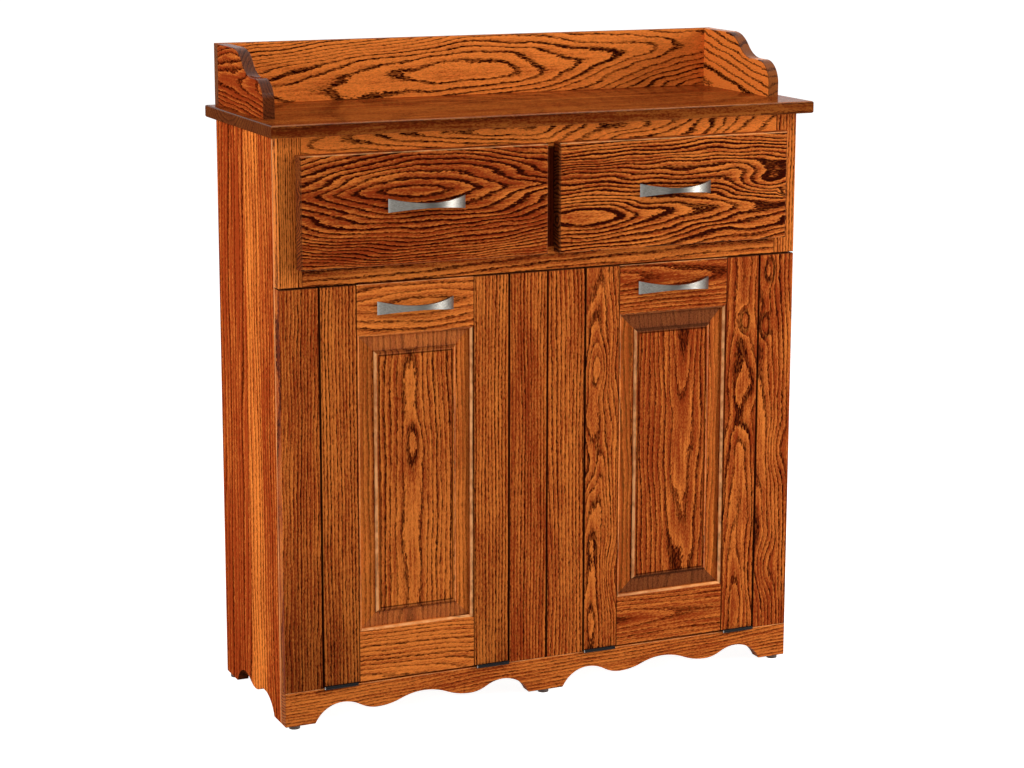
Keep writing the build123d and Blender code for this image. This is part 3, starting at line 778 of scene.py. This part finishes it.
class CABINET_OT_doors(bpy.types.Operator):
    """Stain the frame-and-panel doors"""
    bl_idname = "cabinet.doors"
    bl_label = "Doors"

    def execute(self, context):
        low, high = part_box("door_left_panel")
        field = ((high.x - low.x) / 2 - FIELD_INSET, (high.z - low.z) / 2 - FIELD_INSET)
        moulded = {"rubbed_highlight": 0.95, "quirk": QUIRK_FROM_MIDDLE}
        mirrored = {"rubbed_highlight": 0.95, "quirk": -QUIRK_FROM_MIDDLE}
        oak_board("door_left_outer_stile", 51, Cut(
            "ZXY", **STRAIGHT, **moulded, tone=0.52, fade=0.3, seams=(-1,)))
        oak_board("door_left_inner_stile", 52, Cut(
            "ZXY", **STRAIGHT, **mirrored, tone=0.52, fade=0.2, seams=(1,)))
        oak_board("door_left_top_rail", 53, Cut(
            "XZY", (0.008, 0.01), spread=0.12, ring=0.009, point=0.5, wild=0.012, tone=0.55, lift=1.12,
            bold=0.75, rubbed_highlight=0.7))
        oak_board("door_left_bottom_rail", 54, Cut(
            "XZY", (-0.05, 0.02), 0.06, 0.3, wild=0.008, tone=0.66, lift=1.08, bold=0.8, rubbed_highlight=0.7))
        oak_board("door_left_panel", 55, Cut(
            "ZXY", (-0.01, 0.02), 0.012, 0.1, ring=0.0072, wild=0.01, knots=((0.06, -0.004, 0.025, -0.006),),
            tone=0.52, rubbed_highlight=0.95, field=field, end=0.55, bevel=3.3))
        oak_board("door_right_inner_stile", 56, Cut(
            "ZXY", (-0.02, 0.015), 0.06, **moulded, sway=0.016, wild=0.02, seams=(-1,),
            knots=((0.16, -0.012, 0.03, -0.012), (0.0, -0.03, 0.035, 0.014), (-0.2, 0.02, 0.035, 0.014))))
        oak_board("door_right_outer_stile", 57, Cut(
            "ZXY", (0.0, 0.012), 0.04, **mirrored, sway=0.02, wild=0.016, tone=0.42, seams=(1,),
            knots=((0.215, 0.008, 0.017, 0.014), (0.05, 0.01, 0.03, 0.009))))
        oak_board("door_right_top_rail", 58, Cut(
            "XZY", (0.02, 0.01), 0.05, tone=0.42, bold=0.75, rubbed_highlight=0.7))
        oak_board("door_right_bottom_rail", 59, Cut(
            "XZY", (0.0, 0.012), 0.03, tone=0.44, bold=0.7, rubbed_highlight=0.7))
        oak_board("door_right_panel", 60, Cut(
            "ZXY", (0.02, 0.02), -0.05, 0.05, ring=0.008, sway=0.018, wild=0.014, tone=0.4, rubbed_highlight=0.95,
            field=field, end=1, bevel=1.6))
        return {"FINISHED"}


class CABINET_OT_inside(bpy.types.Operator):
    """Seal the panels, cleats, cradles and drawer boxes inside"""
    bl_idname = "cabinet.inside"
    bl_label = "Inside"

    def execute(self, context):
        flat = {"heart": (0.0, 0.05), "tilt": 0.03, "ring": 0.009, "sway": 0.02, "bold": 0.6}
        fixed = {"back_panel": "ZXY", "center_partition": "ZYX", "inner_cleats": "XZY",
                 "floor_panel": "XYZ", "drawer_deck": "XYZ"}
        for seed, (node, axes) in enumerate(fixed.items(), 70):
            plain_board(node, seed, Cut(axes, **flat))
        moving = {"cradle_%s_sides": "ZYX", "cradle_%s_bottom": "XYZ", "cradle_%s_back_slats": "XZY",
                  "drawer_%s_sides": "YZX", "drawer_%s_ends": "XZY", "drawer_%s_bottom": "XYZ"}
        for side, first_seed in zip(SIDES, (80, 90)):
            for seed, (node, axes) in enumerate(moving.items(), first_seed):
                plain_board(node % side, seed, Cut(axes, **flat))
        return {"FINISHED"}


def brushed(name, colour, rough, per_metre, highlighted=None, metal=1.0, sheen=0.5):
    """Metal, bare or painted, whose fine marks run along the axis with the fewest of them to the metre."""
    finish = Finish(bpy.data.materials.new(name))
    marks = finish.noise(finish.place(), per_metre, FINE_DETAIL)
    smudge = finish.noise(finish.place(), SMUDGES, FINE_DETAIL, SMUDGE_SEED)
    shade = finish.mix(finish.ease(marks, *MARK_LEVELS), colour, scaled(colour, MARK_SHADE))
    # Painted highlight on faces that point left, towards the left lamp
    if highlighted is not None:
        leftward = finish.split(finish.facing())[0] * -1
        shade = finish.mix(finish.ease(leftward, *LEFTWARD), shade, highlighted)
    uneven = marks * MARK_ROUGHNESS + smudge * MARK_ROUGHNESS
    return finish.surface(Base_Color=shade, Metallic=metal, Specular_IOR_Level=sheen,
                          Roughness=rough - SMOOTHEST + uneven,
                          Normal=finish.bump(marks, MARK_DEPTH, MARK_BUMP))


class CABINET_OT_metal(bpy.types.Operator):
    """Finish the pulls, hinges, pins and slides"""
    bl_idname = "cabinet.metal"
    bl_label = "Metal parts"

    def execute(self, context):
        looks = context.scene.cabinet_metal
        nickel = brushed("satin_nickel", looks.nickel, looks.nickel_rough, (30.0, 500.0, 700.0),
                         highlighted=looks.highlighted)
        black = brushed("black_hinge", looks.black, looks.black_rough, (300.0, 300.0, 300.0), metal=0.0,
                        sheen=0.12)
        steel = brushed("pin_steel", looks.steel, looks.steel_rough, (60.0, 900.0, 900.0))
        zinc = brushed("zinc_plate", looks.zinc, looks.zinc_rough, (400.0, 40.0, 400.0))
        for side in SIDES:
            dress(f"door_{side}_pull", nickel)
            dress(f"drawer_{side}_pull", nickel)
            dress(f"door_{side}_hinge_leaves", black)
            dress(f"drawer_{side}_runners", zinc)
        dress("hinge_base_leaves", black)
        dress("hinge_pins", steel)
        dress("slide_rails", zinc)
        return {"FINISHED"}


def bin_plastic(looks):
    """Moulded plastic with a fine grain and pale scuffs that run level."""
    finish = Finish(bpy.data.materials.new("bin_plastic"))
    grain = finish.noise(finish.place(), BIN_GRAIN, FINE_DETAIL)
    scuffs = finish.noise(finish.place(), BIN_SCUFFS, SCUFF_DETAIL, SCUFF_SEED)
    scuffed = finish.ease(scuffs, *SCUFF_LEVELS)
    shade = finish.mix(scuffed * SCUFF_SHARE, looks.bin, scaled(looks.bin, SCUFF_SHADE))
    return finish.surface(Base_Color=shade, Roughness=looks.bin_rough + scuffed * SCUFF_ROUGHNESS,
                          Normal=finish.bump(grain, GRAIN_DEPTH, GRAIN_BUMP))


def glide_plastic(looks):
    """Dusty plastic."""
    finish = Finish(bpy.data.materials.new("glide_plastic"))
    dust = finish.noise(finish.place(), GLIDE_DUST, FINE_DETAIL)
    shade = finish.mix(dust * DUST_SHARE, looks.glide, scaled(looks.glide, DUST_SHADE))
    return finish.surface(Base_Color=shade, Roughness=looks.glide_rough)


class CABINET_OT_plastic(bpy.types.Operator):
    """Finish the waste bins and the glides"""
    bl_idname = "cabinet.plastic"
    bl_label = "Plastic parts"

    def execute(self, context):
        looks = context.scene.cabinet_plastic
        bins = bin_plastic(looks)
        for side in SIDES:
            dress(f"waste_bin_{side}", bins)
        dress("glides", glide_plastic(looks))
        return {"FINISHED"}


def seen_rays(finish):
    """1 for rays that show the backdrop: from the camera, off a gloss or through glass."""
    path = finish.node("ShaderNodeLightPath", {}, {})
    return path[CAMERA_RAY].largest(path[GLOSSY_RAY]).largest(path[TRANSMISSION_RAY])


def softbox(name, aim, azimuth, distance, height, width, tall, power):
    """Area lamp that stands round the cabinet and faces it; azimuth 0 is the front, 90 its right."""
    data = bpy.data.lights.new(name, "AREA")
    data.shape = "RECTANGLE"
    data.size = width
    data.size_y = tall
    data.energy = power
    lamp = bpy.data.objects.new(name, data)
    bpy.context.scene.collection.objects.link(lamp)
    turn = math.radians(azimuth)
    lamp.location = (distance * math.sin(turn), -distance * math.cos(turn), height)
    lamp.rotation_euler = (Vector(aim) - lamp.location).to_track_quat("-Z", "Y").to_euler()


def sheet(name, corners):
    """One flat four-cornered object with a finish of its own, which is returned under construction."""
    mesh = bpy.data.meshes.new(name)
    mesh.from_pydata(corners, [], [(0, 1, 2, 3)])
    flat = bpy.data.objects.new(name, mesh)
    bpy.context.scene.collection.objects.link(flat)
    finish = Finish(bpy.data.materials.new(name))
    mesh.materials.append(finish.owner)
    return flat, finish


def studio_floor(looks):
    """Wide pale floor that looks white and keeps the cabinet's shadow."""
    far = FLOOR_REACH
    floor, finish = sheet("studio_floor", [(-far, -far, 0), (far, -far, 0), (far, far, 0), (-far, far, 0)])
    matt = finish.node("ShaderNodeBsdfDiffuse", {}, {"Color": opaque(looks.floor)})[0]
    glow = finish.node("ShaderNodeEmission", {}, {"Strength": seen_rays(finish) * looks.glow})[0]
    both = finish.node("ShaderNodeAddShader", {}, {0: matt, 1: glow})[0]
    finish.node("ShaderNodeOutputMaterial", {}, {"Surface": both})
    return floor


def grey_card(azimuth, distance, width, tall):
    """Grey card on the floor that only shows in mirroring finishes."""
    turn = math.radians(azimuth)
    middle = Vector((distance * math.sin(turn), -distance * math.cos(turn), 0))
    edge = Vector((math.cos(turn), math.sin(turn), 0)) * width / 2
    top = Vector((0, 0, tall))
    low = [middle - edge, middle + edge]
    card, finish = sheet("grey_card", [*low, middle + edge + top, middle - edge + top])
    grey = opaque((CARD_GREY, CARD_GREY, CARD_GREY))
    matt = finish.node("ShaderNodeBsdfDiffuse", {}, {"Color": grey})[0]
    finish.node("ShaderNodeOutputMaterial", {}, {"Surface": matt})
    card.visible_camera = False
    card.visible_diffuse = False
    card.visible_transmission = False
    card.visible_shadow = False
    return card


def studio_air(looks):
    """Soft fill from all round, and a white backdrop where it is seen."""
    world = bpy.data.worlds.new("studio")
    air = Finish(world)
    level = seen_rays(air).between(looks.ambient, 1)
    sky = air.node("ShaderNodeBackground", {}, {"Color": (1, 1, 1, 1), "Strength": level})[0]
    air.node("ShaderNodeOutputWorld", {}, {"Surface": sky})
    return world


def photo_camera(looks):
    """Camera at the photograph's viewing angle."""
    data = bpy.data.cameras.new("camera")
    data.sensor_width = SENSOR_WIDTH
    data.lens = looks.focal_pixels / IMAGE_WIDTH * SENSOR_WIDTH
    data.shift_y = looks.rise_pixels / IMAGE_WIDTH
    camera = bpy.data.objects.new("camera", data)
    bpy.context.scene.collection.objects.link(camera)
    turn = Matrix.Rotation(-looks.camera_turn, 3, "Z")
    drop = Matrix.Rotation(math.pi / 2 - looks.camera_drop, 3, "X")
    roll = Matrix.Rotation(looks.camera_roll, 3, "Z")
    camera.location = looks.camera_place
    camera.rotation_euler = (turn @ drop @ roll).to_euler()
    return camera


class CABINET_OT_stage(bpy.types.Operator):
    """Set up the floor, the soft lamps and the camera"""
    bl_idname = "cabinet.stage"
    bl_label = "Stage"

    def execute(self, context):
        looks = context.scene.cabinet_stage
        floor = studio_floor(looks)
        card = grey_card(azimuth=20, distance=3.0, width=1.5, tall=1.8)
        context.scene.world = studio_air(looks)
        middle = (0, 0, (cad_box[0].z + cad_box[1].z) / 2)
        softbox("right_softbox", middle, azimuth=60, distance=3.4, height=1.35, width=1.0, tall=2.3,
                power=112)
        softbox("left_softbox", middle, azimuth=-84, distance=3.0, height=1.3, width=1.2, tall=2.2, power=60)
        softbox("top_softbox", middle, azimuth=10, distance=2.2, height=2.8, width=2.4, tall=1.2, power=20)
        context.scene.camera = photo_camera(looks)
        context.scene.view_settings.view_transform = "Standard"
        return {"FINISHED"}


OPERATORS = (CABINET_OT_carcass, CABINET_OT_face_frame, CABINET_OT_top, CABINET_OT_drawer_fronts,
             CABINET_OT_doors, CABINET_OT_inside, CABINET_OT_metal, CABINET_OT_plastic, CABINET_OT_stage)
LOOKS = {"cabinet_oak": CabinetOakLooks, "cabinet_plain": CabinetPlainWoodLooks,
         "cabinet_metal": CabinetMetalLooks, "cabinet_plastic": CabinetPlasticLooks,
         "cabinet_stage": CabinetStageLooks}


class CABINET_PT_panel(bpy.types.Panel):
    """Steps that dress the cabinet, and their colours and sizes"""
    bl_idname = "CABINET_PT_panel"
    bl_label = "Cabinet looks"
    bl_space_type = "VIEW_3D"
    bl_region_type = "UI"
    bl_category = "Cabinet"

    def draw(self, context):
        for operator in OPERATORS:
            self.layout.operator(operator.bl_idname)
        for name, kind in LOOKS.items():
            box = self.layout.box()
            for prop in kind.__annotations__:
                box.prop(getattr(context.scene, name), prop)


def register():
    """Adds the cabinet's classes and their places on the scene."""
    for kind in (*LOOKS.values(), *OPERATORS, CABINET_PT_panel):
        bpy.utils.register_class(kind)
    for name, kind in LOOKS.items():
        setattr(bpy.types.Scene, name, bpy.props.PointerProperty(type=kind))


def unregister():
    """Takes away what register adds."""
    for name in LOOKS:
        delattr(bpy.types.Scene, name)
    for kind in reversed((*LOOKS.values(), *OPERATORS, CABINET_PT_panel)):
        bpy.utils.unregister_class(kind)


def main():
    """Dresses the cabinet step by step."""
    register()
    for operator in OPERATORS:
        group, step = operator.bl_idname.split(".")
        getattr(getattr(bpy.ops, group), step)()


if __name__ == "__main__":
    main()
